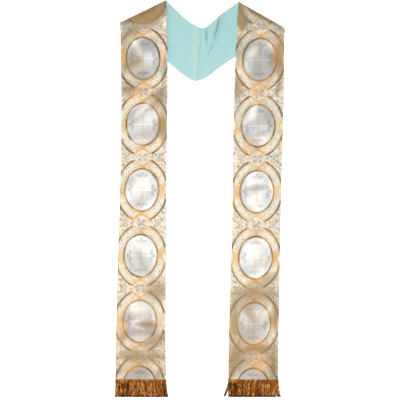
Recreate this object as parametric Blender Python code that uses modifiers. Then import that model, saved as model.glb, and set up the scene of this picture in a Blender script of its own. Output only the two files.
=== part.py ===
"""Clerical stole, laid flat with its neck folded behind its two bands.

Metres, +Z up. The stole lies on z = 0 with its hems towards -Y, and the origin is at the
bottom centre of its box. Each band is one length of brocade, lined from end to end. It runs
up from its hem, rolls over at a slanting shoulder fold, and comes back down below itself to
the centre back seam, where its lining faces up. A metal thread fringe is sewn on each hem.
"""

import math

import bmesh
import bpy
import numpy as np

# Cloth
BROCADE_THICK = 0.0016  # the brocade with its interlining
LINING_THICK = 0.0010
SEAM_GAP = 0.0003  # between two cloths, and between layers that lie on each other
LINING_SETBACK = 0.0008  # the lining stops this far inside the brocade's edge

# Heights of the surface that the brocade and the lining share
FLOOR_LEVEL = LINING_THICK + SEAM_GAP / 2  # where a band lies on its lining
NECK_LEVEL = BROCADE_THICK + SEAM_GAP / 2  # where the neck lies on its brocade
STACK = BROCADE_THICK + LINING_THICK + SEAM_GAP
OVER_LEVEL = STACK + SEAM_GAP + FLOOR_LEVEL  # where a band lies on the neck

# Shoulder fold, a soft roll whose section is an ellipse
ROLL_REACH = 0.014  # from the fold line to the crest
ROLL_HALF_HEIGHT = 0.0055
ROLL_LEVEL = NECK_LEVEL + 2 * ROLL_HALF_HEIGHT
ROLL_EASE = 0.080  # from the fold line to where the band has come down on the neck
LOFT = 0.0025  # the band doesn't press flat on the neck
DROP_END = 0.065  # from the neck's hidden edge to where the band has come down to the floor

# Rows and columns of each wall
WALL_COLUMNS = 8
LOW_ROW_STEP = 0.027
HIGH_ROW_STEP = 0.0125
NECK_ROW_STEP = 0.0085
ROLL_ROWS = 12
HIGH_PART = 0.25  # of the band, below its shoulder, that has the closer rows

# Sections of each band, from its hem to the shoulder fold, then from the fold to the centre
# back. Columns: x and y of its left edge, x and y of its right edge, both as the panel is seen
# from above. The neck's lower edge, hidden below the panel, is the panel's outer edge.
LEFT_PANEL = (
    (-0.2274, -0.4950, -0.0903, -0.4950),
    (-0.2267, -0.4131, -0.0920, -0.4131),
    (-0.2245, -0.3159, -0.0919, -0.3159),
    (-0.2215, -0.1863, -0.0913, -0.1863),
    (-0.2172, -0.0567, -0.0910, -0.0567),
    (-0.2138, 0.0648, -0.0898, 0.0648),
    (-0.2118, 0.1863, -0.0879, 0.1944),
    (-0.2115, 0.2673, -0.0865, 0.2862),
    (-0.2121, 0.3483, -0.0863, 0.3807),
    (-0.2129, 0.4158, -0.0875, 0.4617),
    (-0.2132, 0.4739, -0.0895, 0.5341),
)
LEFT_NECK = (
    (-0.2132, 0.4739, -0.0895, 0.5341),
    (-0.1694, 0.4377, -0.0736, 0.5195),
    (-0.1262, 0.4020, -0.0566, 0.5025),
    (-0.0884, 0.3710, -0.0412, 0.4884),
    (-0.0560, 0.3443, -0.0263, 0.4768),
    (-0.0344, 0.3283, -0.0134, 0.4687),
    (-0.0198, 0.3202, -0.0026, 0.4633),
    (-0.0069, 0.3178, 0.0055, 0.4606),
)
RIGHT_PANEL = (
    (0.0765, -0.4950, 0.2122, -0.4950),
    (0.0774, -0.4077, 0.2115, -0.4077),
    (0.0811, -0.2727, 0.2143, -0.2727),
    (0.0846, -0.1647, 0.2160, -0.1647),
    (0.0874, -0.0567, 0.2178, -0.0567),
    (0.0892, 0.0513, 0.2204, 0.0513),
    (0.0909, 0.1917, 0.2241, 0.1809),
    (0.0929, 0.2916, 0.2264, 0.2673),
    (0.0957, 0.3807, 0.2272, 0.3375),
    (0.0994, 0.4590, 0.2275, 0.4023),
    (0.1038, 0.5341, 0.2275, 0.4644),
)
RIGHT_NECK = (
    (0.1038, 0.5341, 0.2275, 0.4644),
    (0.0887, 0.5219, 0.1789, 0.4342),
    (0.0736, 0.5100, 0.1330, 0.4055),
    (0.0579, 0.4976, 0.0925, 0.3807),
    (0.0420, 0.4847, 0.0614, 0.3602),
    (0.0277, 0.4728, 0.0344, 0.3405),
    (0.0169, 0.4636, 0.0126, 0.3251),
    (0.0055, 0.4606, -0.0069, 0.3178),
)

# Soft folds, each a ridge along a line. Columns: x and y of one end, x and y of the other,
# half width, height at the one end and at the other
NECK_FOLDS = (
    (0.0385, 0.4830, 0.0150, 0.3600, 0.0120, 0.0036, 0.0010),
    (-0.0110, 0.4700, -0.0160, 0.3300, 0.0110, 0.0008, 0.0012),
)
PANEL_FOLDS = (
    (-0.2250, 0.3150, -0.0950, 0.2350, 0.0280, 0.0032, 0.0010),
    (-0.1750, -0.2400, -0.0850, -0.2050, 0.0240, 0.0006, 0.0028),
    (-0.2150, -0.3520, -0.0900, -0.3480, 0.0160, 0.0010, 0.0034),
    (0.1530, 0.4100, 0.1570, 0.3100, 0.0280, 0.0010, 0.0026),
    (0.0850, -0.2500, 0.2150, -0.2620, 0.0280, 0.0022, 0.0030),
    (0.0700, -0.4080, 0.1500, -0.4380, 0.0240, 0.0030, 0.0008),
)

# Fringe
HEADING_WIDTH = 0.0085
HEADING_OVERHANG = 0.0006  # below the hem
HEADING_LEVEL = STACK + SEAM_GAP  # its underside, on the brocade
FRINGE_THICK = 0.0018
STRANDS = 50
STRAND_SHARE = 0.66  # of the pitch, the rest is the gap between two strands
STRAND_LENGTH = 0.0388
UNEVENNESS = 0.0016  # from the longest strand to the shortest
UNEVENNESS_TURN = 0.9  # radians of its wave from one strand to the next
SWAY = 0.0006  # of the tips to either side
SWAY_TURN = 0.55
SWAY_CURVE = 1.5  # power of the share of the length, so that a strand leaves its root straight
# Down a strand. Columns: share of its length, height of its underside
STRAND_DROP = (
    (0.14, 0.0026),
    (0.34, 0.0007),
    (0.66, 0.0004),
    (1.00, 0.0005),
)
# How far the end strands' tips stand outside the heading, and the power that fades this over
# the other strands. Columns: at the left, its power, at the right, its power
LEFT_FLARE = (0.0012, 5, 0.0045, 3)
RIGHT_FLARE = (0.0110, 22, 0.0075, 3)

BROCADE_COLOUR = (0.74, 0.62, 0.42, 1.0)
LINING_COLOUR = (0.43, 0.69, 0.67, 1.0)
FRINGE_COLOUR = (0.29, 0.12, 0.03, 1.0)


def clear_scene():
    for obj in list(bpy.data.objects):
        bpy.data.objects.remove(obj)


def make_collection(name):
    collection = bpy.data.collections.new(name)
    bpy.context.scene.collection.children.link(collection)
    return collection


def make_material(name, colour, roughness, metallic):
    material = bpy.data.materials.new(name)
    material.use_nodes = True
    shader = material.node_tree.nodes["Principled BSDF"]
    shader.inputs["Base Color"].default_value = colour
    shader.inputs["Roughness"].default_value = roughness
    shader.inputs["Metallic"].default_value = metallic
    return material


def smoothstep(x):
    x = np.clip(x, 0.0, 1.0)
    return x * x * (3.0 - 2.0 * x)


def along_sections(sections, steps):
    """Sections at these distances from the first, on a smooth curve through the table's."""
    rows = np.array(sections, float)
    middle = (rows[:, :2] + rows[:, 2:]) / 2
    at = np.concatenate([[0], np.cumsum(np.linalg.norm(np.diff(middle, axis=0), axis=1))])
    slope = np.gradient(rows, at, axis=0)
    steps = np.asarray(steps, float) * at[-1]
    i = np.clip(np.searchsorted(at, steps, side="right") - 1, 0, len(at) - 2)
    span = (at[i + 1] - at[i])[:, None]
    s = (steps - at[i])[:, None] / span
    start = (1 + 2 * s) * (1 - s) ** 2 * rows[i] + s * (1 - s) ** 2 * span * slope[i]
    end = s * s * (3 - 2 * s) * rows[i + 1] + s * s * (s - 1) * span * slope[i + 1]
    return start + end


def middle_length(sections):
    rows = np.array(sections, float)
    return float(np.linalg.norm(np.diff((rows[:, :2] + rows[:, 2:]) / 2, axis=0), axis=1).sum())


def off_line(points, start, end):
    """Distance in plan from the line, positive on its right-hand side from start to end."""
    along = (end - start) / np.linalg.norm(end - start)
    return along[1] * (points[..., 0] - start[0]) - along[0] * (points[..., 1] - start[1])


def set_inside_fold(fold, neighbour):
    """The fold section moved down its two edges until it lies below the roll's crest."""
    fold, neighbour = np.array(fold), np.array(neighbour)
    moved = []
    for corner in (slice(0, 2), slice(2, 4)):
        edge = neighbour[corner] - fold[corner]
        depth = off_line(neighbour[corner], fold[:2], fold[2:])
        moved.append(fold[corner] + edge * ROLL_REACH / depth)
    return np.concatenate(moved)


def fold_heights(points, folds):
    """Height that the soft folds add at each point: a bell across the fold's own line."""
    height = np.zeros(points.shape[:-1])
    for x0, y0, x1, y1, half_width, first, last in folds:
        start, end = np.array((x0, y0)), np.array((x1, y1))
        along = np.sum((points - start) * (end - start), axis=-1) / np.sum((end - start) ** 2)
        off = off_line(points, start, end) / half_width
        crest = first + (last - first) * np.clip(along, 0, 1)
        past_end = np.maximum(np.maximum(-along, along - 1), 0) * np.linalg.norm(end - start)
        height += crest * np.exp(-(off**2)) * np.exp(-((past_end / half_width) ** 2))
    return height


def panel_heights(points, neck):
    """The band rises from the floor to lie on the neck, and again to the roll of its fold."""
    fold, later = np.array(neck[0]), np.array(neck[3])
    if fold[1] < fold[3]:  # the neck's lower edge runs from the fold's left end to the right
        past_neck = off_line(points, fold[:2], later[:2])
    else:
        past_neck = off_line(points, later[2:], fold[2:])
    on_neck = 1.0 - smoothstep(past_neck / DROP_END)
    base = FLOOR_LEVEL + (OVER_LEVEL + LOFT - FLOOR_LEVEL) * on_neck
    base += fold_heights(points, PANEL_FOLDS)
    inside = off_line(points, fold[:2], fold[2:])
    rising = 1.0 - smoothstep((inside - ROLL_REACH) / (ROLL_EASE - ROLL_REACH))
    return base + (ROLL_LEVEL - base) * rising


def across(sections, setback):
    """Plan points of each section, from its left edge to its right, set back at both."""
    left, right = sections[:, None, :2], sections[:, None, 2:]
    width = np.linalg.norm(right - left, axis=-1, keepdims=True)
    share = np.linspace(0, 1, WALL_COLUMNS + 1)[None, :, None]
    inset = setback / width
    return left + (right - left) * (inset + share * (1 - 2 * inset))


def panel_steps(length):
    """Even rows up the band, closer below its shoulder, as shares of its length."""
    low = length - HIGH_PART
    lower = np.linspace(0, low, max(2, round(low / LOW_ROW_STEP)), endpoint=False)
    upper = np.linspace(low, length, round(HIGH_PART / HIGH_ROW_STEP) + 1)
    return np.concatenate([lower, upper]) / length


def panel_points(panel_rows, neck, setback):
    """Rows from the hem up to the crest of the shoulder's roll."""
    sections = along_sections(panel_rows, panel_steps(middle_length(panel_rows)))
    plan = across(sections, setback)
    return np.dstack([plan, panel_heights(plan, neck)])


def roll_points(crest, foot, fold, setback):
    """Rows over the roll: out from its crest to the fold line, and back below to its foot."""
    angles = np.linspace(0, math.pi, ROLL_ROWS + 1)
    out, up = ROLL_REACH * np.sin(angles), ROLL_HALF_HEIGHT * np.cos(angles)
    travelled = np.concatenate([[0], np.cumsum(np.hypot(np.diff(out), np.diff(up)))])
    turned = crest + (foot - crest) * (travelled / travelled[-1])[:, None]
    along_fold = np.array(fold[2:]) - np.array(fold[:2])
    outward = np.array((-along_fold[1], along_fold[0])) / np.linalg.norm(along_fold)
    plan = across(turned, setback) + (out[:, None] * outward)[:, None, :]
    height = np.broadcast_to((NECK_LEVEL + ROLL_HALF_HEIGHT + up)[:, None], plan.shape[:2])
    return np.dstack([plan, height])[1:-1]


def neck_points(neck_rows, setback):
    """Rows from the foot of the roll to the centre back seam, lining side up."""
    row_count = round(middle_length(neck_rows) / NECK_ROW_STEP) + 1
    sections = along_sections(neck_rows, np.linspace(0, 1, row_count))
    seam = sections[-1, 2:] - sections[-1, :2]
    from_seam = np.array((-seam[1], seam[0])) / np.linalg.norm(seam) * SEAM_GAP / 2
    towards_band = np.sign(np.dot(sections[-2, :2] - sections[-1, :2], from_seam))
    sections[-1] += np.tile(from_seam * towards_band, 2)
    plan = across(sections, setback)
    return np.dstack([plan, NECK_LEVEL + fold_heights(plan, NECK_FOLDS)])


def band_points(panel, neck, setback):
    """The surface that a band's brocade and lining share, from its hem to the centre back."""
    fold = panel[-1]
    crest = set_inside_fold(fold, panel[-2])
    foot = set_inside_fold(fold, neck[1])
    stretches = (
        panel_points([*panel[:-1], crest], neck, setback),
        roll_points(crest, foot, fold, setback),
        neck_points([foot, *neck[1:]], setback),
    )
    return np.concatenate(stretches)


def grid_object(name, points, material, collection):
    """An open surface of these rows of points, from Blender's own grid."""
    rows, columns = points.shape[0] - 1, points.shape[1] - 1
    bm = bmesh.new()
    bmesh.ops.create_grid(bm, x_segments=columns, y_segments=rows, size=0.5)
    for vert in bm.verts:
        column = round((vert.co.x + 0.5) * columns)
        row = round((vert.co.y + 0.5) * rows)
        vert.co = points[row, column]
    return finish_object(name, bm, material, collection)


def finish_object(name, bm, material, collection):
    mesh = bpy.data.meshes.new(name)
    bm.to_mesh(mesh)
    bm.free()
    mesh.materials.append(material)
    mesh.shade_smooth()
    obj = bpy.data.objects.new(name, mesh)
    collection.objects.link(obj)
    return obj


def thicken(obj, thickness, side, gap):
    """A wall on one side of the surface: side 1 is above it, -1 below, gap away from it."""
    wall = obj.modifiers.new("Cloth", "SOLIDIFY")
    wall.thickness = thickness
    wall.offset = side * (1 + 2 * gap / thickness)
    wall.use_even_offset = True


def make_band(side, panel, neck, materials, collection):
    brocade = band_points(panel, neck, 0.0)
    outer = grid_object(f"brocade_{side}", brocade, materials["brocade"], collection)
    thicken(outer, BROCADE_THICK, 1, SEAM_GAP / 2)
    lining = band_points(panel, neck, LINING_SETBACK)
    inner = grid_object(f"lining_{side}", lining, materials["lining"], collection)
    thicken(inner, LINING_THICK, -1, SEAM_GAP / 2)


def strand_path(k, root_x, hem_y, flare):
    """Middle of a strand at each row of its drop. The tips fan out and end unevenly."""
    share = k / (STRANDS - 1)
    to_left, left_power, to_right, right_power = flare
    sway = to_right * share**right_power - to_left * (1 - share) ** left_power
    sway += SWAY * math.sin(SWAY_TURN * k)
    length = STRAND_LENGTH - UNEVENNESS * (1 + math.cos(UNEVENNESS_TURN * k)) / 2
    return [
        (root_x + sway * down**SWAY_CURVE, hem_y - length * down, height)
        for down, height in STRAND_DROP
    ]


def grow_strand(bm, root, path, half_width):
    """Extrudes the root edge along the path, one quad for each of its points."""
    edge = root
    for x, y, z in path:
        grown = bmesh.ops.extrude_edge_only(bm, edges=[edge])["geom"]
        edge = next(item for item in grown if isinstance(item, bmesh.types.BMEdge))
        left, right = sorted(edge.verts, key=lambda vert: vert.co.x)
        left.co = (x - half_width, y, z)
        right.co = (x + half_width, y, z)


def make_fringe(side, panel, flare, material, collection):
    """A comb: the heading lies on the brocade at the hem, and its strands fall to the floor."""
    left, hem_y, right, _ = panel[0]
    pitch = (right - left) / (STRANDS - 1 + STRAND_SHARE)
    strand_width = pitch * STRAND_SHARE
    cells = 2 * STRANDS - 1
    bottom = hem_y - HEADING_OVERHANG
    bm = bmesh.new()
    bmesh.ops.create_grid(bm, x_segments=cells, y_segments=1, size=0.5)
    for vert in bm.verts:
        column = round((vert.co.x + 0.5) * cells)
        x = left + (column // 2) * pitch + (column % 2) * strand_width
        y = bottom if vert.co.y < 0 else hem_y + HEADING_WIDTH
        vert.co = (x, y, HEADING_LEVEL)
    lower_edges = [e for e in bm.edges if max(v.co.y for v in e.verts) < hem_y]
    lower_edges.sort(key=lambda e: min(v.co.x for v in e.verts))
    for k, root in enumerate(lower_edges[::2]):
        root_x = left + k * pitch + strand_width / 2
        grow_strand(bm, root, strand_path(k, root_x, bottom, flare), strand_width / 2)
    bmesh.ops.recalc_face_normals(bm, faces=bm.faces)
    if sum(face.normal.z for face in bm.faces) < 0:
        bmesh.ops.reverse_faces(bm, faces=bm.faces)
    obj = finish_object(f"fringe_{side}", bm, material, collection)
    thicken(obj, FRINGE_THICK, 1, 0.0)


def main():
    clear_scene()
    collection = make_collection("clerical_stole")
    materials = {
        "brocade": make_material("Brocade", BROCADE_COLOUR, 0.42, 0.25),
        "lining": make_material("Lining", LINING_COLOUR, 0.55, 0.0),
        "fringe": make_material("Metal thread fringe", FRINGE_COLOUR, 0.45, 0.5),
    }
    bands = (
        ("left", LEFT_PANEL, LEFT_NECK, LEFT_FLARE),
        ("right", RIGHT_PANEL, RIGHT_NECK, RIGHT_FLARE),
    )
    for side, panel, neck, flare in bands:
        make_band(side, panel, neck, materials, collection)
        make_fringe(side, panel, flare, materials["fringe"], collection)


main()
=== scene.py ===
"""Lays out a lined brocade stole with fringed hems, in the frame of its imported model.

Lengths are in metres, or in millimetres in the tables that say so. +Z is up, and the stole
lies on z = 0 with its hems towards -Y. Each band is one surface from its hem, over the roll of
its shoulder fold, to the centre back. The brocade lies on one side of that surface and the
lining on the other, as closed shells.
"""

import functools
import math

import bpy
import mathutils
import numpy as np
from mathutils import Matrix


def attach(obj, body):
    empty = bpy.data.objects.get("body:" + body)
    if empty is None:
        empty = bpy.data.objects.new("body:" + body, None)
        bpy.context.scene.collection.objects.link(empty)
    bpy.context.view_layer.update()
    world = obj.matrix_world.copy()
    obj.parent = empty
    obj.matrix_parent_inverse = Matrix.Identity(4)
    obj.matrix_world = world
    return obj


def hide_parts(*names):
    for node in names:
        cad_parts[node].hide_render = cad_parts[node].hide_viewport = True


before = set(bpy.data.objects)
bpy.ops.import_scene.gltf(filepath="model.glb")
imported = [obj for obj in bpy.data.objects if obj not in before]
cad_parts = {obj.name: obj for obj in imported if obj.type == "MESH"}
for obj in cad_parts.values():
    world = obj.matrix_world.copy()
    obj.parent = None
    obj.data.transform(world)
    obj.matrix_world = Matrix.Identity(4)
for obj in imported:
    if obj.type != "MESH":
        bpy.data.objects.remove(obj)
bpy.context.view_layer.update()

bl_info = {
    "name": "Clerical Stole",
    "version": (1, 0, 0),
    "blender": (4, 5, 0),
    "location": "3D View > Sidebar > Stole",
    "description": "Makes a lined brocade stole with bullion fringes, laid out flat",
    "category": "Object",
}

MM = 0.001
CLOTH_MAP = "Cloth"  # metres across the band and up it, from the middle of its first oval
BAKE_MAP = "OFBake"  # the same surface in stretches side by side on one square

# Sections of each band in millimetres, from its hem towards the shoulder fold, then from that
# fold to the centre back. Columns: x and y of its left edge, x and y of its right edge
LEFT_PANEL = (
    (-227.4, -495, -90.3, -495),
    (-226.7, -413.1, -92, -413.1),
    (-224.5, -315.9, -91.9, -315.9),
    (-221.5, -186.3, -91.3, -186.3),
    (-217.2, -56.7, -91, -56.7),
    (-213.8, 64.8, -89.8, 64.8),
    (-211.8, 186.3, -87.9, 194.4),
    (-211.5, 267.3, -86.5, 286.2),
    (-212.1, 348.3, -86.3, 380.7),
    (-212.9, 415.8, -87.5, 461.7),
)
LEFT_NECK = (
    (-213.2, 473.9, -89.5, 534.1),
    (-169.4, 437.7, -73.6, 519.5),
    (-126.2, 402, -56.6, 502.5),
    (-88.4, 371, -41.2, 488.4),
    (-56, 344.3, -26.3, 476.8),
    (-34.4, 328.3, -13.4, 468.7),
    (-19.8, 320.2, -2.6, 463.3),
    (-6.9, 317.8, 5.5, 460.6),
)
RIGHT_PANEL = (
    (76.5, -495, 212.2, -495),
    (77.4, -407.7, 211.5, -407.7),
    (81.1, -272.7, 214.3, -272.7),
    (84.6, -164.7, 216, -164.7),
    (87.4, -56.7, 217.8, -56.7),
    (89.2, 51.3, 220.4, 51.3),
    (90.9, 191.7, 224.1, 180.9),
    (92.9, 291.6, 226.4, 267.3),
    (95.7, 380.7, 227.2, 337.5),
    (99.4, 459, 227.5, 402.3),
)
RIGHT_NECK = (
    (103.8, 529.7, 227.5, 460),
    (88.7, 520.5, 178.9, 434.2),
    (73.6, 510, 133, 405.5),
    (57.9, 497.6, 92.5, 380.7),
    (42, 484.7, 61.4, 360.2),
    (27.7, 472.8, 34.4, 340.5),
    (16.9, 463.6, 12.6, 325.1),
    (5.5, 460.6, -6.9, 317.8),
)
# With them, where the pattern falls on each band: from the hem to its first oval's centre,
# from one oval's centre to the next, and from the band's middle to the pattern's
BANDS = {
    "left": (LEFT_PANEL, LEFT_NECK, (165.6, 177.05, -3.2)),
    "right": (RIGHT_PANEL, RIGHT_NECK, (159.7, 177.7, -0.3)),
}
NECK_WIDTH = 123.7 * MM  # of the band past its fold
BAND_WIDTH = 137 * MM  # of the band at its hem, for the number of columns

# The shoulder's roll, and the way the band comes down from it to the neck and to the floor
ROLL_REACH = 14 * MM
ROLL_ROWS = 22
ROLL_HALF_HEIGHT = 5.5 * MM
ROLL_EASE = 80 * MM
LOFT = 2.5 * MM
DROP_END = 65 * MM

# Soft ridges and, where the height is negative, troughs, in millimetres. Columns: x and y of
# one end, x and y of the other, how far the line between them bows to the left, half width to
# its left and to its right, height at either end
NECK_FOLDS = (
    (50, 492, 9, 350, 4.5, 15, 4.2, 6.2, 1.2),
    (13, 462, 11.5, 380, 2, 7, 3.6, 2.6, 0.8),
    (-11, 470, -16, 330, 0, 12, 7, 1.8, 2.2),
    (-70, 470, -45, 390, 0, 12, 12, 0.5, 0.2),
)
# The same in the lining alone, which creases more sharply; they end inside its edges
LINING_FOLDS = (
    (47, 474, 13, 362, 4, 9, 2.4, 3, 1.2),
    (13.5, 445, 12.5, 385, 1.5, 6, 2.2, 2, 0.8),
)
PANEL_FOLDS = (
    (-225, 315, -95, 235, 0, 28, 28, 3.2, 1),
    (-175, -240, -85, -205, 0, 24, 24, 0.6, 2.8),
    (-215, -352, -90, -348, 0, 16, 16, 1, 3.4),
    (153, 410, 157, 310, 0, 28, 28, 1, 2.6),
    (85, -250, 215, -262, 0, 28, 28, 2.2, 3),
    (70, -408, 150, -438, 0, 24, 24, 3, 0.8),
)
# Waves of the laid cloth. Columns: waves a metre along x and along y, phase, height in metres
WAVES = (
    (4.0, 7.0, 0.4, 0.0010),
    (-8.0, 12.0, 2.1, 0.0009),
    (15.0, 5.0, 4.0, 0.0006),
)
# Painted shade: brown laid over the cloth, mostly along folds, in millimetres. Columns: x and y
# of the middle, turn in degrees, half length, half width
PAINTED_FOLD_SHADE = (
    (-195, 440, 20, 45, 20),
    (-185, 362, 30, 42, 19),
    (-112, 270, 60, 42, 24),
    (-100, 195, 92, 56, 19),
    (-195, 295, 0, 30, 18),
    (-112, -245, 10, 45, 30),
    (-150, -425, 0, 90, 22),
    (-142, -338, -3, 34, 13),
    (-115, -380, 20, 50, 20),
    (215, 390, 90, 70, 20),
    (100, 300, 90, 36, 20),
    (150, -255, 0, 85, 30),
    (100, -425, 80, 62, 32),
    (198, -435, 90, 56, 24),
    (150, -405, 0, 70, 16),
    (95, -320, 90, 70, 18),
    (205, -320, 90, 50, 16),
)
# Painted shade in the same way along the shoulder folds, with harder edges
PAINTED_ROLL_SHADE = (
    (-175, 508, 26, 95, 21),
    (-130, 500, 30, 56, 27),
    (107, 496, -80, 48, 17),
    (165, 503, -29, 85, 14),
)
# Softer patches of painted light and shade, each in one tint: painted shade in ring brown towards
# the hems and in the dull brown and slate grey, a painted bluish reflection in cool silver,
# painted golden sheen in gold and painted highlights in white. Columns: its share, how much
# rougher it makes the cloth, and rows as above
PAINTED_LIGHT_PATCHES = {
    "ring": (0.19, 0.0, (
        (-160, -420, 90, 160, 130),
        (145, -400, 90, 180, 160),
    )),
    "cool": (0.50, 0.0, (
        (-142, 395, -65, 42, 18),
        (-190, 450, 15, 30, 12),
        (132, 383, 84, 46, 11),
        (105, 230, 88, 50, 11),
    )),
    "gold": (0.55, 0.0, (
        (160, -395, 0, 34, 19),
        (162, -440, 80, 36, 26),
        (206, 395, 77, 56, 12),
        (185, 315, 55, 42, 11),
        (156, 295, 0, 30, 14),
        (130, 145, 60, 26, 12),
        (-206, 385, 85, 24, 12),
        (-172, 285, 30, 44, 13),
        (-208, -355, 80, 32, 15),
        (-185, -458, 20, 30, 14),
    )),
    "dusk": (0.45, 0.12, (
        (-203, 415, 75, 26, 13),
        (-96, 345, 85, 42, 10),
        (-140, -342, -4, 36, 12),
        (-215, -460, 60, 24, 12),
        (-108, -470, 60, 24, 14),
        (-205, -372, 60, 26, 12),
        (88, -445, 85, 48, 16),
        (198, -450, 90, 40, 14),
        (130, -305, -60, 38, 18),
        (212, 305, 80, 30, 9),
        (185, -215, 20, 40, 16),
        (117, 375, 90, 28, 6),
        (126, 410, 58, 24, 6),
        (-123.8, 64, -52, 28, 6),
        (-121.1, 161.8, 52, 28, 6),
        (122.3, 60.1, 52, 28, 6),
        (125.9, 237.8, 52, 28, 6),
    )),
    "slate": (0.30, 0.12, (
        (-153, -173, -63, 56, 19),
        (165, 178, 20, 22, 11),
        (156, 30, 10, 30, 12),
        (130, 470, -70, 48, 20),
        (190, 432, 0, 30, 16),
        (106, 405, 85, 60, 11),
        (-185, 456, 20, 32, 15),
        (-148, 458, 15, 40, 13),
        (170, 467, -25, 38, 13),
        (148, 345, 80, 44, 19),
    )),
    "white": (0.75, 0.0, (
        (-165, 402, -60, 30, 10),
        (-150, 245, 42, 56, 9),
        (-162, 156, 10, 28, 14),
        (-112, -245, 0, 16, 12),
        (-158, -295, 10, 30, 17),
        (-156, -372, 0, 30, 15),
        (144, 398, 50, 22, 10),
        (140, 230, 60, 34, 13),
        (142, -13, -50, 28, 13),
        (178, -157, 70, 22, 10),
        (176, -315, 60, 26, 12),
        (103, 302, 0, 12, 16),
    )),
}


def srgb(red, green, blue):
    """A colour given in steps of 255, as the linear one that a shader takes."""
    parts = [part / 255 for part in (red, green, blue)]
    linear = [p / 12.92 if p <= 0.04045 else ((p + 0.055) / 1.055) ** 2.4 for p in parts]
    return (*linear, 1.0)


def number(name, default, description, **settings):
    return bpy.props.FloatProperty(
        name=name, description=description, default=default, **settings
    )


def length(name, default, description):
    return number(name, default, description, unit="LENGTH", precision=4)


def count(name, default, description):
    return bpy.props.IntProperty(name=name, description=description, default=default)


def colour(name, shade, description):
    return bpy.props.FloatVectorProperty(
        name=name, description=description, default=srgb(*shade), subtype="COLOR", size=4
    )


class StoleCloth(bpy.types.PropertyGroup):
    brocade: length("Brocade", 1.6 * MM, "Thickness of the brocade with its interlining")
    lining: length("Lining", 1.0 * MM, "Thickness of the lining")
    gap: length("Gap", 0.3 * MM, "Between brocade and lining, and between layers")
    setback: length("Setback", 0.8 * MM, "From the brocade's edge to the lining's")
    fine_step: length("Fine step", 1.5 * MM, "Between a mesh's rows where it shows from above")
    coarse_step: length("Coarse step", 3.5 * MM, "Between its rows where it is underneath")
    raised: length("Raised", 0.12 * MM, "Height of the woven rings above their ground")


class StolePattern(bpy.types.PropertyGroup):
    repeat: length("Repeat", 177 * MM, "From one oval's centre to the next")
    oval_width: length("Oval width", 90 * MM, "To the middle of the oval's gold line")
    oval_height: length("Oval height", 113 * MM, "To the middle of the oval's gold line")
    ring_width: length("Ring width", 135 * MM, "To the middle of the outer ring's line")
    ring_height: length("Ring height", 168 * MM, "To the middle of the outer ring's line")
    line: length("Line", 5.0 * MM, "Width of the gold lines")
    thin_line: length("Thin line", 1.8 * MM, "Width of the ring's line round a roundel")
    roundel: length("Roundel", 21.5 * MM, "Radius of the roundels between two ovals")
    side_roundel: length("Side roundel", 23 * MM, "Radius of the roundels at the edges")
    side_offset: length("Side offset", 81.5 * MM, "From an oval's centre to a side roundel's")


class StoleColours(bpy.types.PropertyGroup):
    silver: colour("Silver", (200, 196, 186), "Satin ground of the ovals")
    cool: colour("Cool silver", (190, 197, 202), "Where the satin turns bluish")
    cream: colour("Cream", (226, 200, 154), "Ground between the rings")
    corner: colour("Corner", (209, 186, 149), "Ground outside the rings")
    tan: colour("Tan", (190, 162, 122), "Flecks in the ground outside the rings")
    straw: colour("Straw", (236, 205, 145), "Palest of the gold fill")
    white: colour("White", (242, 234, 218), "Leaves and petals")
    sage: colour("Sage", (170, 172, 154), "Leaf outlines and stems")
    slate: colour("Slate", (140, 140, 132), "Darkest flecks")
    rose: colour("Rose", (204, 162, 162), "Roundel flowers")
    gold: colour("Gold", (222, 163, 84), "Deepest of the gold fill")
    ring: colour("Ring", (186, 146, 90), "Brightest thread of the rings")
    bronze: colour("Bronze", (104, 82, 56), "Darkest thread of the rings")
    # Painted shade: the brown laid over folds, shoulder rolls and some patches
    dusk: colour("Dusk", (144, 113, 64), "Metal thread where it has dulled")
    umber: colour("Umber", (80, 62, 44), "Specks and the edges of the rings")
    lining: colour("Lining", (190, 240, 240), "Aqua taffeta")
    lining_deep: colour("Lining deep", (174, 225, 225), "Cross threads of the taffeta")
    # Paler taffeta for a strip by the centre back
    lining_pale: colour("Lining pale", (214, 248, 234), "Taffeta over the seam allowance")
    # Painted shade down in the lining's creases
    painted_crease_shade: colour("Lining dark", (92, 142, 142), "Taffeta down in its creases")
    copper: colour("Copper", (168, 94, 16), "Fringe thread")
    copper_light: colour("Copper light", (242, 186, 112), "Fringe thread at its lightest")
    copper_dark: colour("Copper dark", (70, 34, 3), "Fringe thread at its darkest")


class StoleFringe(bpy.types.PropertyGroup):
    strands: count("Strands", 56, "In the upper layer of a fringe")
    under_strands: count("Under strands", 57, "In the layer below it")
    radius: length("Radius", 1.2 * MM, "Of a twisted strand")
    turn: length("Turn", 6.0 * MM, "Length in which a strand twists once round")
    drop: length("Drop", 40.0 * MM, "From the heading to the longest strand's tip")
    uneven: length("Uneven", 1.6 * MM, "From the longest strand to the shortest")
    heading: length("Heading", 9.1 * MM, "Width of the woven heading")
    overhang: length("Overhang", 0.6 * MM, "Of the heading below the hem")


class StoleStage(bpy.types.PropertyGroup):
    view_width: length("View width", 1.08, "Width that the camera sees")
    lens: number("Lens", 85.0, "Focal length", unit="CAMERA")
    key: number("Key", 36.5, "Power of the light overhead", unit="POWER")
    side: number("Side", 11.0, "Power of the light from one side", unit="POWER")
    sky_low: number("Low sky", 0.34, "Strength of the light from all round")
    horizon: number("Horizon", 0.95, "Strength of the light along the horizon")
    sky_high: number("High sky", 0.16, "Strength of the light from overhead")
    sky_colour: colour("Sky colour", (255, 252, 247), "Of the light from all round")
    floor_glow: number("Floor glow", 0.66, "Light that the floor gives by itself")
    floor: colour("Floor", (246, 246, 246), "Plain floor")


GROUPS = {
    "stole_cloth": StoleCloth,
    "stole_pattern": StolePattern,
    "stole_colours": StoleColours,
    "stole_fringe": StoleFringe,
    "stole_stage": StoleStage,
}


# Surfaces


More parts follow.
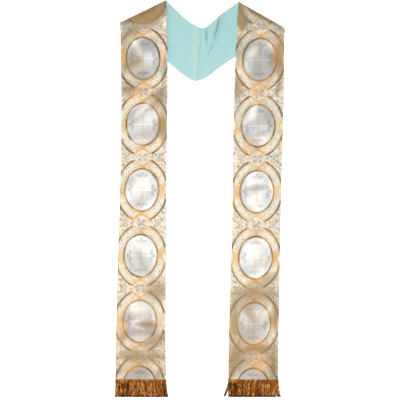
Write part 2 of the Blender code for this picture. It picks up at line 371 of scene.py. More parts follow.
def smoothstep(x):
    x = np.clip(x, 0.0, 1.0)
    return x * x * (3.0 - 2.0 * x)


def unit(vectors):
    return vectors / np.linalg.norm(vectors, axis=-1, keepdims=True)


def pairs(x, y):
    """x and y of places, each spread over the shape of both."""
    return np.stack(np.broadcast_arrays(x, y), axis=-1)


def travelled(points):
    """How far along each column its rows lie, from the first row."""
    steps = np.linalg.norm(np.diff(points, axis=0), axis=-1)
    return np.concatenate([np.zeros_like(steps[:1]), np.cumsum(steps, axis=0)])


def along_sections(sections, steps):
    """The table's sections at these shares of its length: each span is the cubic through its
    two sections, with the slopes of the differences on either side of them."""
    rows = np.array(sections, float)
    at = travelled((rows[:, :2] + rows[:, 2:]) / 2)
    slope = np.gradient(rows, at, axis=0)
    steps = np.asarray(steps, float) * at[-1]
    i = np.clip(np.searchsorted(at, steps, side="right") - 1, 0, len(at) - 2)
    span = (at[i + 1] - at[i])[:, None]
    s = (steps - at[i])[:, None] / span
    start = (1 + 2 * s) * (1 - s) ** 2 * rows[i] + s * (1 - s) ** 2 * span * slope[i]
    end = s * s * (3 - 2 * s) * rows[i + 1] + s * s * (s - 1) * span * slope[i + 1]
    return start + end


def off_line(points, start, end):
    """Distance in plan from the line, positive on its right-hand side from start to end."""
    along = unit(end - start)
    return along[1] * (points[..., 0] - start[0]) - along[0] * (points[..., 1] - start[1])


def fold_heights(points, folds):
    """The sum of the folds: height times exp(-(distance from the line / half width) squared),
    with the height changing evenly along the line and dying off past its ends. The line bows
    by 4 bow t (1 - t) at its share t."""
    height = np.zeros(points.shape[:-1])
    for x0, y0, x1, y1, bow, left, right, first, last in np.array(folds) * MM:
        start, end = np.array((x0, y0)), np.array((x1, y1))
        along = np.sum((points - start) * (end - start), axis=-1) / np.sum((end - start) ** 2)
        share = np.clip(along, 0, 1)
        off = off_line(points, start, end) + 4 * bow * share * (1 - share)
        half_width = left + (right - left) * smoothstep(off / right / 0.4 + 0.5)
        off = off / half_width
        crest = first + (last - first) * share
        past_end = np.maximum(np.maximum(-along, along - 1), 0) * np.linalg.norm(end - start)
        height += crest * np.exp(-(off**2)) * np.exp(-((past_end / half_width) ** 2))
    return height


def lens_field(points, rows):
    """The least of the rows' |q| + p squared, where p and q are the shares of the half length
    and the half width: below 1 inside a lens. The rows are in millimetres and degrees."""
    field = np.full(points.shape[:-1], 4.0)
    for x, y, turn, half_length, half_width in rows:
        off_x, off_y = points[..., 0] - x * MM, points[..., 1] - y * MM
        cosine, sine = math.cos(math.radians(turn)), math.sin(math.radians(turn))
        p = (off_x * cosine + off_y * sine) / (half_length * MM)
        q = (off_y * cosine - off_x * sine) / (half_width * MM)
        field = np.minimum(field, np.abs(q) + p**2)
    return field


def wave_heights(points):
    """The sum of the waves: height times half of 1 + sin(2 pi (waves . place) + phase)."""
    x, y = points[..., 0], points[..., 1]
    return sum(
        height * (1 + np.sin(2 * math.pi * (a * x + b * y) + phase)) / 2
        for a, b, phase, height in WAVES
    )


class Band:
    """One band's surface, in rows from its hem over the shoulder's roll to the centre back.

    A point is given by its row and its share of the way across, from the left edge to the
    right. The surface's normal points to the brocade's side.
    """

    def __init__(self, side, cloth, step, neck_step, neck_folds=NECK_FOLDS):
        self.panel, self.neck, falls = (np.array(table) * MM for table in BANDS[side])
        self.first, self.pitch, self.shift = falls
        self.side, self.cloth, self.neck_folds = side, cloth, neck_folds
        self.fold = self.neck[0]
        self.floor_level = cloth.lining + cloth.gap / 2
        self.neck_level = cloth.brocade + cloth.gap / 2
        self.roll_level = self.neck_level + 2 * ROLL_HALF_HEIGHT
        crest, foot = self.inside_fold(self.panel[-1]), self.inside_fold(self.neck[1])
        up = self.sections_of([*self.panel, crest], step)
        over, self.roll_out, self.roll_up = self.turn_over(crest, foot)
        down = self.sections_of([foot, *self.neck[1:]], neck_step)
        down[-1] += self.seam_shift(down)
        self.panel_rows, self.neck_rows = len(up), len(down)
        self.sections = np.concatenate([up, over, down])

    def inside_fold(self, neighbour):
        """The fold section moved down its two edges until it lies below the roll's crest."""
        moved = []
        for corner in (slice(0, 2), slice(2, 4)):
            edge = neighbour[corner] - self.fold[corner]
            depth = off_line(neighbour[corner], self.fold[:2], self.fold[2:])
            moved.append(self.fold[corner] + edge * ROLL_REACH / depth)
        return np.concatenate(moved)

    def sections_of(self, table, step):
        rows = np.array(table)
        span = travelled((rows[:, :2] + rows[:, 2:]) / 2)[-1]
        return along_sections(table, np.linspace(0, 1, round(span / step) + 1))

    def turn_over(self, crest, foot):
        """The sections over the roll, and how far out and up from its middle each lies: half
        an ellipse, (reach sin a, half height cos a) for a from 0 to pi."""
        angles = np.linspace(0, math.pi, ROLL_ROWS + 1)[1:-1, None]
        out, up = ROLL_REACH * np.sin(angles), ROLL_HALF_HEIGHT * np.cos(angles)
        way = travelled(np.hstack([out, up]))[:, None]
        return crest + (foot - crest) * way / way[-1], out, up

    def seam_shift(self, down):
        """A little way back from the centre back seam, towards the band."""
        seam = down[-1, 2:] - down[-1, :2]
        back = unit(np.array((-seam[1], seam[0])))
        side = np.sign(np.dot(down[-2, :2] - down[-1, :2], back))
        return np.tile(back * side * self.cloth.gap / 6, 2)

    def panel_height(self, plan):
        """The floor's level, raised where the band lies on the neck and again to the roll."""
        left, right = self.fold[:2], self.fold[2:]
        later = self.neck[3]
        line = (left, later[:2]) if left[1] < right[1] else (later[2:], right)
        on_neck = 1.0 - smoothstep(off_line(plan, *line) / DROP_END)
        stack = self.cloth.brocade + self.cloth.lining + 2 * self.cloth.gap
        base = self.floor_level + (stack + LOFT) * on_neck
        base = base + fold_heights(plan, PANEL_FOLDS) + wave_heights(plan)
        inside = off_line(plan, left, right)
        rising = 1.0 - smoothstep((inside - ROLL_REACH) / (ROLL_EASE - ROLL_REACH))
        return base + (self.roll_level - base) * rising

    def points(self, shares):
        """The surface at these shares across, one row of shares for all or one for each row:
        straight from edge to edge in plan, and as high as its stretch gives."""
        shares = np.broadcast_to(shares, (len(self.sections), np.shape(shares)[-1]))[..., None]
        left, right = self.sections[:, None, :2], self.sections[:, None, 2:]
        plan = left + (right - left) * shares
        roll = slice(self.panel_rows, len(plan) - self.neck_rows)
        along = unit(self.fold[2:] - self.fold[:2])
        plan[roll] += (self.roll_out * np.array((-along[1], along[0])))[:, None]
        height = np.empty(plan.shape[:2])
        height[: roll.start] = self.panel_height(plan[: roll.start])
        height[roll] = self.neck_level + ROLL_HALF_HEIGHT + self.roll_up
        neck = plan[roll.stop :]
        height[roll.stop :] = self.neck_level + fold_heights(neck, self.neck_folds)
        return np.dstack([plan, height])

    def frame_at(self, shares):
        """Points of the surface there and its normals, the cross product of the ways across
        and up."""
        points = self.points(shares)
        across = self.points(np.asarray(shares) + 1e-3) - self.points(np.asarray(shares) - 1e-3)
        return points, unit(np.cross(across, np.gradient(points, axis=0)))

    def widths(self):
        """The band's width square to its length, one value for each row."""
        x_width = self.sections[: self.panel_rows, 2] - self.sections[: self.panel_rows, 0]
        rest = np.full(len(self.sections) - self.panel_rows, NECK_WIDTH)
        return np.concatenate([x_width, rest])

    def on_cloth(self, points, shares):
        """Where the points lie on the uncut cloth: how far across, and how far up their own
        column, measured over the surface and scaled to one repeat for all bands."""
        x = (np.broadcast_to(shares, points.shape[:2]) - 0.5) * self.widths()[:, None]
        repeat = bpy.context.scene.stole_pattern.repeat
        y = (travelled(points) - self.first) * repeat / self.pitch
        return np.dstack([x - self.shift, y])

    def flat_size(self, margin):
        """Width, length and area of the cloth that the band is cut from."""
        ways = travelled(self.points(np.array([0.0, 0.5, 1.0])))
        width, middle = self.widths() - 2 * margin, ways[:, 1]
        area = float(np.sum((width[1:] + width[:-1]) / 2 * np.diff(middle)))
        return float(width.max()), max(float(ways[-1].max()), area / width.max()), area


# Meshes


def add_object(name, data):
    added = bpy.data.objects.new(name, data)
    bpy.context.scene.collection.objects.link(added)
    return added


def loft(name, rings, cloth, strip, material, stretches=1, values=None, smooth_caps=False):
    """A piece from closed rings, carried from row to row and capped at both ends.

    rings has the place of every copy, row and ring point. cloth and strip have one more point
    round the ring than that, for its seam: cloth goes to the cloth's own map, and strip, from
    0 to 1 both ways, to the map that holds its stretches side by side. values are attributes
    of the points, by name.
    """
    copies, rows, around = rings.shape[:3]
    mesh = bpy.data.meshes.new(name)
    mesh.vertices.add(copies * rows * around)
    mesh.vertices.foreach_set("co", rings.astype(np.float32).ravel())

    copy = np.arange(copies)[:, None, None] * rows * around
    row = np.arange(rows - 1)[None, :, None] * around
    here = np.arange(around)[None, None, :]
    after = (here + 1) % around
    low, high = copy + row, copy + row + around
    quads = np.stack([low + here, low + after, high + after, high + here], axis=-1)
    first = (copy + here)[:, 0]
    caps = np.stack([first[:, ::-1], first + (rows - 1) * around], axis=1)
    sizes = np.concatenate([np.full(quads.size // 4, 4), np.full(2 * copies, around)])
    mesh.loops.add(quads.size + caps.size)
    mesh.loops.foreach_set("vertex_index", np.concatenate([quads.ravel(), caps.ravel()]))
    mesh.polygons.add(len(sizes))
    mesh.polygons.foreach_set("loop_start", np.concatenate([[0], np.cumsum(sizes)[:-1]]))
    smooth = np.full(len(sizes), smooth_caps)
    smooth[: quads.size // 4] = True
    mesh.polygons.foreach_set("use_smooth", smooth)
    mesh.update(calc_edges=True)

    for map_name, places in ((CLOTH_MAP, cloth), (BAKE_MAP, strip)):
        left, right = places[:, :, :-1], places[:, :, 1:]
        faces = np.stack([left[:, :-1], right[:, :-1], right[:, 1:], left[:, 1:]], axis=3)
        ends = np.stack([places[:, 0, -2::-1], places[:, -1, :-1]], axis=1)
        if map_name == BAKE_MAP:
            faces, ends = side_by_side(faces, stretches), cap_places(ends, stretches)
        uv = np.concatenate([faces.reshape(-1, 2), ends.reshape(-1, 2)])
        layer = mesh.uv_layers.new(name=map_name, do_init=False)
        layer.uv.foreach_set("vector", uv.astype(np.float32).ravel())
    for key, value in (values or {}).items():
        attribute = mesh.attributes.new(key, "FLOAT", "POINT")
        value = np.broadcast_to(value, rings.shape[:3]).astype(np.float32)
        attribute.data.foreach_set("value", value.ravel())
    mesh.materials.append(material)
    mesh.validate()
    return add_object(name, mesh)


def side_by_side(places, stretches, margin=0.004):
    """Places on a strip, moved to its stretches that stand side by side on one square. Each
    face goes with the stretch that its middle lies in."""
    across, up = places[..., 0], places[..., 1] * stretches
    stretch = np.clip(np.floor(up.mean(axis=-1, keepdims=True)), 0, stretches - 1)
    u = (stretch + 0.5 + (across - 0.5) * (1 - 2 * margin * stretches)) / stretches
    v = margin + (up - stretch) * (1 - 2 * margin)
    return np.stack([u, v], axis=-1)


def cap_places(ends, stretches, radius=0.002):
    """A small circle round each cap's middle, so that the cap has a width on the square."""
    turn = np.linspace(0, 2 * math.pi, ends.shape[2], endpoint=False)
    circle = radius * np.stack([np.cos(turn), np.sin(turn)], axis=-1)
    return side_by_side(ends, stretches).mean(axis=2, keepdims=True) + circle


# Shader maths


class Value:
    """A shader's socket. Arithmetic on it adds Math nodes."""

    def __init__(self, shader, socket):
        self.shader, self.socket = shader, socket

    def math(self, operation, *others, clamp=False):
        inputs = dict(enumerate((self, *others)))
        settings = {"operation": operation, "use_clamp": clamp}
        return self.shader.node("ShaderNodeMath", settings, inputs)

    def ramp(self, gain, start):
        """gain times the value and start added, held from 0 to 1."""
        return self.math("MULTIPLY_ADD", gain, start, clamp=True)

    def output(self, name):
        """Another output of the same node."""
        return Value(self.shader, self.socket.node.outputs[name])

    def __add__(self, other):
        return self.math("ADD", other)

    __radd__ = __add__

    def __mul__(self, other):
        return self.math("MULTIPLY", other)

    __rmul__ = __mul__

    def __sub__(self, other):
        return self.math("SUBTRACT", other)

    def __rsub__(self, other):
        return self.math("MULTIPLY_ADD", -1.0, other)

    def __truediv__(self, other):
        return self.math("DIVIDE", other)

    def __neg__(self):
        return self.math("MULTIPLY", -1.0)

    def __abs__(self):
        return self.math("ABSOLUTE")


def either(operation, on_numbers):
    """A function of numbers or arrays that adds a Math node where its first value is a socket."""

    def apply(x, *others):
        return x.math(operation, *others) if isinstance(x, Value) else on_numbers(x, *others)

    return apply


root, power = either("SQRT", np.sqrt), either("POWER", np.power)
least, most = either("MINIMUM", np.minimum), either("MAXIMUM", np.maximum)


def inside(distance, soft):
    """1 where the distance is negative, 0 where it is positive, over a soft edge."""
    if isinstance(distance, Value):
        return distance.ramp(-1.0 / soft, 0.5)
    return np.clip(0.5 - distance / soft, 0, 1)


class Nodes:
    """A tree of nodes. The method node adds one, and the others call it for common kinds."""

    def __init__(self, tree):
        self.tree, self.colours = tree, bpy.context.scene.stole_colours

    def node(self, kind, settings=None, inputs=None, output=0):
        """Adds a node of this type. Its settings are set first, a ramp's stops among them, and
        then the values or links of its sockets."""
        node = self.tree.nodes.new(kind)
        for key, setting in (settings or {}).items():
            if key == "stops":
                ramp = node.color_ramp.elements
                for stop, (place, tint) in enumerate(setting):
                    element = ramp[stop] if stop < 2 else ramp.new(place)
                    element.position, element.color = place, getattr(self.colours, tint)
            else:
                setattr(node, key, setting)
        for key, value in (inputs or {}).items():
            self.plug(node.inputs[key], value)
        return Value(self, node.outputs[output])

    def plug(self, socket, value):
        """Links a value or sets one. A tint is given by its name in StoleColours."""
        if isinstance(value, Value):
            self.tree.links.new(value.socket, socket)
        else:
            tint = isinstance(value, str)
            socket.default_value = getattr(self.colours, value) if tint else value

    def mix(self, factor, first, second):
        inputs = {0: factor, 6: first, 7: second}
        return self.node("ShaderNodeMix", {"data_type": "RGBA"}, inputs, 2)

    def lay(self, body, tint, field, soft, share=1.0):
        """A share of the tint over the body where the field is negative, with a soft edge."""
        amount = inside(field, soft)
        return self.mix(amount if share == 1.0 else amount * share, body, tint)

    def noise(self, place, scale, detail=2.0, roughness=0.5):
        inputs = {"Vector": place, "Scale": scale, "Detail": detail, "Roughness": roughness}
        return self.node("ShaderNodeTexNoise", {}, inputs)

    def attribute(self, name):
        return self.node("ShaderNodeAttribute", {"attribute_name": name}, output="Fac")

    def on_object(self):
        return self.node("ShaderNodeTexCoord", output="Object")

    def on_cloth(self):
        """The place on the cloth's own map, and how far across and how far up it is."""
        cloth = self.node("ShaderNodeUVMap", {"uv_map": CLOTH_MAP})
        parts = self.node("ShaderNodeSeparateXYZ", {}, {0: cloth})
        return cloth, parts, parts.output("Y")

    def bump(self, strength, distance, height):
        inputs = {"Strength": strength, "Distance": distance, "Height": height}
        return self.node("ShaderNodeBump", {}, inputs)


class Shader(Nodes):
    """A new material. Its constants and feeds are named for the surface's sockets."""

    def __init__(self, name, **constants):
        self.material = bpy.data.materials.new(name)
        self.material.use_nodes = True
        super().__init__(self.material.node_tree)
        self.surface = self.tree.nodes["Principled BSDF"]
        self.finish(**constants)

    def finish(self, **feeds):
        for socket, value in feeds.items():
            self.plug(self.surface.inputs[socket.replace("_", " ")], value)
        return self.material


# The brocade's pattern

ROUNDEL_POWER = 1.6  # of |x| and |y| in a roundel's outline: 1 is a square, 2 a circle


def woven_rings(x, y, pattern):
    """Distances from the pattern's lines, at a place in the first quarter round an oval: from
    the oval's line, from the outer ring's, and from the nearest roundel's edge, each negative
    inside. An ellipse's distance is taken along the ray from its middle, r - r / k, where k is
    the root of (x / a) squared + (y / b) squared. The ring passes round the roundels."""
    xx, yy = x * x, y * y
    r = root(xx + yy)

    def ellipse(width, height):
        return r - r / most(root(xx * (4 / width**2) + yy * (4 / height**2)), 0.01)

    oval = ellipse(pattern.oval_width, pattern.oval_height)
    up, out = y - pattern.repeat / 2, x - pattern.side_offset
    powers = power(abs(x), ROUNDEL_POWER) + power(abs(up), ROUNDEL_POWER)
    above = power(powers, 1 / ROUNDEL_POWER) - pattern.roundel
    beside = root(out * out + yy) - pattern.side_roundel
    roundel = least(above, beside)
    ring = most(ellipse(pattern.ring_width, pattern.ring_height), -roundel)
    return oval, ring, roundel


def line_shares(oval, ring, roundel, pattern):
    """How much of the oval's line and of the ring's lies at each place. The ring's line is
    thin and faint where it passes round a roundel."""
    near = inside(roundel - pattern.line, pattern.line)
    half = pattern.line / 2 - near * ((pattern.line - pattern.thin_line) / 2)
    soft = pattern.line / 6
    ring_line = inside(abs(ring) - half, soft) * (1.0 - near * 0.45)
    return inside(abs(oval) - pattern.line / 2, soft), ring_line


def leaf(shader, place, x, y, turn, half_length, half_width):
    """A lens shape on the cloth: below 1 inside, from |q| + p squared, where p and q are the
    shares of its half length and half width. It is given in millimetres and degrees."""
    inputs = {
        "Vector": place,
        "Location": (x * MM, y * MM, 0.0),
        "Rotation": (0.0, 0.0, math.radians(turn)),
        "Scale": (half_length * MM, half_width * MM, 1.0),
    }
    turned = shader.node("ShaderNodeMapping", {"vector_type": "TEXTURE"}, inputs)
    parts = shader.node("ShaderNodeSeparateXYZ", {}, {0: turned})
    return parts.math("MULTIPLY_ADD", parts, abs(parts.output("Y")))


def leaves(shader, place, rows):
    return functools.reduce(least, (leaf(shader, place, *row) for row in rows))


def dots(x, y, rows):
    """Distance from the nearest of the dots, negative inside it."""
    offs = ((x - dot_x, y - dot_y, radius) for dot_x, dot_y, radius in np.array(rows) * MM)
    rounds = (root(off_x * off_x + off_y * off_y) - radius for off_x, off_y, radius in offs)
    return functools.reduce(least, rounds)


def petals(x, y, count, radius):
    """Distance outside a flower of so many petals: r - radius (0.74 + 0.26 cos(count a))."""
    turn = y.math("ARCTAN2", x) * count
    return root(x * x + y * y) - (turn.math("COSINE") * 0.26 + 0.74) * radius


def cross_arms(x, y):
    """Distances from the edges of the cross's two arms in its first quarter, negative inside:
    each arm widens with the square of the distance from the middle."""
    across = most(y - x * x * 1.4 - 0.0036, x - 0.0275)
    upright = most(x - y * y * 3.2 - 0.0017, y - 0.0375)
    return across, upright


# Leaves in the first quarter round an oval, in millimetres of cloth. Columns: x and y of the
# middle, turn in degrees, half length, half width
SPRIG = (
    (25.5, 65, 150, 6, 2.6),
    (32.5, 62.5, 80, 5, 2.4),
    (38, 55.5, 140, 6.8, 3),
    (44, 49, 40, 5.2, 2.4),
    (47.5, 40, 115, 7, 3),
    (54.5, 34.5, 60, 5.2, 2.4),
    (55.5, 24, 100, 6, 2.6),
    (33, 54.5, 15, 4.2, 1.9),
    (43, 40, 165, 4.2, 1.9),
    (50, 28.5, 170, 3.8, 1.8),
)
CORNER_LEAVES = (
    (41, 83, 115, 7, 3),
    (47, 74.5, 35, 6.2, 2.8),
    (56, 71.5, 130, 6.8, 3),
    (64, 66, 70, 6.2, 2.8),
    (35.5, 88.5, 0, 5.5, 2.8),
    (62, 54.5, 105, 7.2, 2.8),
    (66.5, 45.5, 80, 5.5, 2.4),
    (31, 83.5, 60, 4.5, 2.2),
)
CROSS_LEAVES = (
    (34, 0, 0, 5.2, 3.6),
    (28.5, 10, 76, 6.6, 2.8),
    (0, 42.5, 90, 5.4, 3.2),
    (9, 38.5, 18, 6.6, 2.8),
)
# Small flowers of five petals between the rings. Columns: x and y of the middle
SPRIG_BLOOMS = ((28.5, 61), (43.5, 48), (54.5, 29.5))
# Dots there, and in a roundel, with y from its middle. Columns: x and y, radius
SPECKS = (
    (36.2, 59.6, 1.1),
    (50.5, 40.5, 1.2),
    (52, 79, 1.5),
    (60, 61, 1.4),
    (44.5, 88.5, 1.3),
    (70, 78, 1.6),
)
BEADS = ((0, 13, 2.6), (13.5, 0, 3))


class Brocade(Shader):
    """The brocade, drawn in the first quarter round an oval and mirrored to the others. Each
    method draws one part of the pattern, or lays it over the parts before it."""

    def __init__(self, pattern):
        super().__init__("Woven brocade", Specular_IOR_Level=0.5)
        self.pattern = pattern
        self.cloth, self.across, self.up = self.on_cloth()
        self.x, self.y = abs(self.across), self.up.math("PINGPONG", pattern.repeat / 2)
        self.from_roundel = self.y - pattern.repeat / 2
        self.place = self.node("ShaderNodeCombineXYZ", {}, {0: self.x, 1: self.y})
        self.oval, self.ring, self.roundel = woven_rings(self.x, self.y, pattern)
        self.in_lines = line_shares(self.oval, self.ring, self.roundel, pattern)
        self.broad = self.noise(self.cloth, 24.0, 2.0)
        self.gilt = self.noise(self.on_object(), 13.0, 1.0).ramp(5.0, -2.0)
        self.fine = self.noise(self.cloth, 130.0, 3.0, 0.6)
        flecks = self.noise(self.cloth, 80.0, 3.0, 0.6).output("Color")
        self.flecks = self.node("ShaderNodeSeparateColor", {}, {0: flecks})

    def flecked(self, ground, gain, start, tints):
        """Scatters three tints, each in its own share, where their own flecks lie."""
        for channel, (tint, share) in zip(("Red", "Green", "Blue"), tints):
            amount = self.flecks.output(channel).ramp(gain, start)
            ground = self.mix(amount * share, ground, tint)
        return ground

    def speckled(self, gain, start, first, second, share):
        """Two threads mottled with each other, with flecks of other tints."""
        ground = self.mix(self.fine.ramp(gain, start), first, second)
        tints = [(tint, share) for tint in ("tan", "slate", "rose")]
        return self.flecked(ground, 10.0, -5.6, tints)

    def outside_rings(self):
        """Small leaves on coloured flecks, and two flowers."""
        lay = self.lay
        body = self.speckled(6.0, -2.52, "white", "corner", 0.8)
        corner = leaves(self, self.place, CORNER_LEAVES)
        body = lay(body, "sage", corner - 1.5, 0.5, 0.4)
        body = lay(body, "white", corner - 0.9, 0.35, 0.8)
        bloom = petals(self.x - 0.0430, self.from_roundel + 0.0030, 5, 0.0085)
        body = lay(body, "sage", bloom, 0.002, 0.7)
        body = lay(body, "white", bloom + 0.0050, 0.0015)
        flower = petals(self.x - 0.0625, self.from_roundel, 8, 0.0088)
        body = lay(body, "white", flower, 0.0015)
        return lay(body, "umber", flower + 0.0058, 0.0012, 0.8)

    def between_rings(self):
        """A faint sprig with flowers on cream, and gold along the lines, round the roundels
        and where the oval comes nearest to the ring."""
        lay, x, y, gilt = self.lay, self.x, self.y, self.gilt
        body = self.speckled(4.0, -1.6, "cream", "white", 0.4)
        body = self.mix((1.0 - gilt) * 0.22, body, "cool")
        sprig = leaves(self, self.place, SPRIG)
        body = lay(body, "sage", sprig - 1.65, 0.5, 0.3)
        body = lay(body, "white", sprig - 0.95, 0.35, 0.85)
        places = np.array(SPRIG_BLOOMS) * MM
        blooms = (petals(x - at_x, y - at_y, 5, 0.0068) for at_x, at_y in places)
        bloom = functools.reduce(least, blooms)
        body = lay(body, "slate", bloom - 0.0012, 0.0016, 0.45)
        body = lay(body, "white", bloom, 0.0014)
        body = lay(body, "umber", bloom + 0.0046, 0.0014, 0.8)
        depth = (self.broad * 3.0 + gilt * 0.6).math("ADD", -1.4, clamp=True)
        self.fill = self.mix(depth, "straw", "gold")
        self.by_line = least(abs(self.oval), abs(self.ring))
        body = lay(body, self.fill, self.by_line - 0.0040, 0.0060, gilt * 0.4 + 0.2)
        body = lay(body, self.fill, self.roundel - 0.0050, 0.005, gilt * 0.4 + 0.4)
        wedge = most(x + self.oval * 0.8 - 0.0120, self.oval - 0.0100)
        body = lay(body, "gold", wedge, 0.005, gilt * 0.5 + 0.5)
        lens = most(x + y * y * 26.0 - 0.0575, y - 0.0170)
        return lay(body, self.fill, lens, 0.004, gilt * 0.5 + 0.45)

    def roundels(self, body):
        """A border, four petals between the arms of a small cross, and a middle."""
        lay, x, up = self.lay, self.x, self.from_roundel
        face = self.speckled(5.0, -2.5, "white", "corner", 0.9)
        petal = petals(x - 0.0072, abs(up) - 0.0062, 4, 0.0062)
        tint = self.mix(self.broad.ramp(4.0, -1.5), "rose", "sage")
        face = lay(face, self.mix(0.3, tint, "umber"), petal, 0.003, 0.65)
        face = lay(face, "straw", dots(x, abs(up), BEADS), 0.002)
        face = lay(face, "rose", petals(x, up, 6, 0.0045), 0.002, 0.8)
        border = self.mix(0.45, "white", self.fill)
        face = lay(face, border, -self.roundel - 0.0034, 0.0024, 0.8)
        body = lay(body, face, self.roundel, 0.0010)
        return lay(body, "umber", dots(x, self.y, SPECKS), 0.0012, 0.6)

    def ovals(self, body):
        """Silver satin, with its cross in thin lines."""
        lay = self.lay
        satin = self.mix(self.broad.ramp(3.0, -1.2), "silver", "cool")
        clouds = (("rose", 0.30), ("cool", 0.7), ("sage", 0.34))
        satin = self.flecked(satin, 4.0, -1.7, clouds)
        arm, upright = cross_arms(self.x, self.y)
        buds = leaves(self, self.place, CROSS_LEAVES)
        satin = lay(satin, "tan", upright, 0.0026, 0.36)
        satin = lay(satin, "bronze", abs(upright) - 0.0003, 0.0014, 0.28)
        satin = lay(satin, "white", arm, 0.0008, 0.22)
        satin = lay(satin, "umber", abs(arm) - 0.0005, 0.0010, 0.42)
        satin = lay(satin, "bronze", buds - 1.2, 0.5, 0.50)
        satin = lay(satin, "silver", buds - 0.45, 0.35, 0.6)
        self.in_oval = inside(self.oval, 0.0006)
        return self.mix(self.in_oval, body, satin)

    def gold_lines(self, body):
        """The lines, in thread that is darker along their edges."""
        self.lines = most(*self.in_lines)
        thread = self.mix(self.broad.ramp(4.5, -1.8), "bronze", "ring")
        middle = inside(self.by_line - self.pattern.line * 0.28, 0.0008)
        rim = self.lines * (1.0 - middle)
        thread = self.mix(most(rim * 0.34, self.in_lines[1] * 0.34), thread, "umber")
        return self.mix(self.lines * 0.94, body, thread)

    def paint_light_and_shade(self, body):
        """Painted light and shade: the patches of tints, and over them painted brown shade along
        the folds and the shoulder rolls.
        """
        broad = self.broad
        self.matt = 0.0
        # Patches of painted light and shade, each in its tint
        for tint, (share, rougher, _) in PAINTED_LIGHT_PATCHES.items():
            patch = inside(self.attribute(tint) + broad * 1.4 - 1.4, 1.2)
            body = self.mix(patch * share, body, tint)
            self.matt = patch * rougher + self.matt
        # Painted brown shade along the folds, and with harder edges over the shoulder rolls
        dulled = inside(self.attribute("dulled") + broad * 1.4 - 1.4, 1.2)
        rolled = inside(self.attribute("rolled") + broad * 0.8 + self.fine * 0.8 - 1.9, 0.6)
        self.dulled = most(dulled * 0.75, rolled * 0.84)
        # The painted shade's colour, mottled towards the gold fill
        shade_tint = self.mix(broad * 0.3 + self.flecks * 0.2, "dusk", self.fill)
        return self.mix(self.dulled, body, shade_tint)

    def relief(self):
        """Twill on the ground and ribs on the lines, on soft ripples and puckers."""
        twill = ((self.across + self.up) * 5200.0).math("SINE")
        rib = (self.up * 6300.0).math("SINE")
        feeds = {0: self.lines, 2: rib, 3: twill}
        weave = self.node("ShaderNodeMix", {"data_type": "FLOAT"}, feeds)
        ripples = self.noise(self.cloth, 15.0, 1.5, 0.4)
        puckers = self.noise(self.cloth, 45.0, 2.0)
        height = (weave + self.fine * 2.0) * (0.22 - self.in_oval * 0.19)
        height = height + ripples * (self.in_oval * 5.0 + 3.0)
        return self.bump(0.5, 0.0003, height + puckers * self.in_oval * 0.9)


def brocade_material(pattern):
    shader = Brocade(pattern)
    outside, between = shader.outside_rings(), shader.between_rings()
    body = shader.lay(outside, between, shader.ring, 0.0006)
    for part in (shader.roundels, shader.ovals, shader.gold_lines, shader.paint_light_and_shade):
        body = part(body)
    oval, lines, dulled = shader.in_oval, shader.lines, shader.dulled
    relief = shader.relief()
    rough = 0.44 - oval * 0.12 - lines * 0.04 + shader.fine * 0.06 + dulled * 0.16 + shader.matt
    metal = 0.22 - oval * 0.10 + lines * 0.14 - dulled * 0.12
    return shader.finish(Base_Color=body, Roughness=rough, Metallic=metal, Normal=relief)


# The other materials

# On the lining by the centre back, in millimetres from the origin: a paler strip, and the
# creases with the share of painted crease shade along each. Columns as for the leaves
PALE_STRIP = (-11, 390, 89, 160, 10)
PAINTED_CREASE_SHADE = (
    ((46.2, 460, 77, 40, 4.4), 0.70),
    ((33, 408, 66, 26, 3.6), 0.40),
    ((17.2, 440, 92, 28, 4), 0.40),
)


def taffeta_material():
    """Crossed threads with slubs along the weft, a pale strip and painted shade along the creases.
    """
    shader = Shader("Aqua taffeta", Sheen_Weight=0.25, Sheen_Roughness=0.4)
    cloth, across, up = shader.on_cloth()
    stretched = shader.node("ShaderNodeMapping", {}, {"Vector": cloth, "Scale": (1.0, 8.0, 1.0)})
    slubs = shader.noise(stretched, 160.0, 3.0, 0.6)
    broad = shader.noise(cloth, 14.0, 2.0)
    fine = shader.noise(cloth, 700.0, 2.0)
    tone = slubs.ramp(1.5, -0.5) * 0.45 + broad * 0.25 + fine * 0.15
    body = shader.mix(tone, "lining", "lining_deep")
    spots = shader.on_object()
    body = shader.lay(body, "lining_pale", leaf(shader, spots, *PALE_STRIP) - 1.0, 1.2, 0.45)
    # Painted shade along the creases
    for row, share in PAINTED_CREASE_SHADE:
        crease = leaf(shader, spots, *row) - 0.6
        body = shader.lay(body, "painted_crease_shade", crease, 1.0, share)
    weft, warp = (up * 7800.0).math("SINE"), (across * 7800.0).math("SINE")
    relief = shader.bump(0.2, 0.0002, weft + warp * 0.5 + slubs * 2.0)
    return shader.finish(Base_Color=body, Roughness=0.46 + fine * 0.12, Normal=relief)


def lining_thread_material():
    shader = Shader("Lining thread")
    mottle = shader.noise(shader.on_cloth()[0], 500.0)
    body = shader.mix(mottle, "lining", "lining_deep")
    return shader.finish(Base_Color=body, Roughness=0.5 + mottle * 0.2)


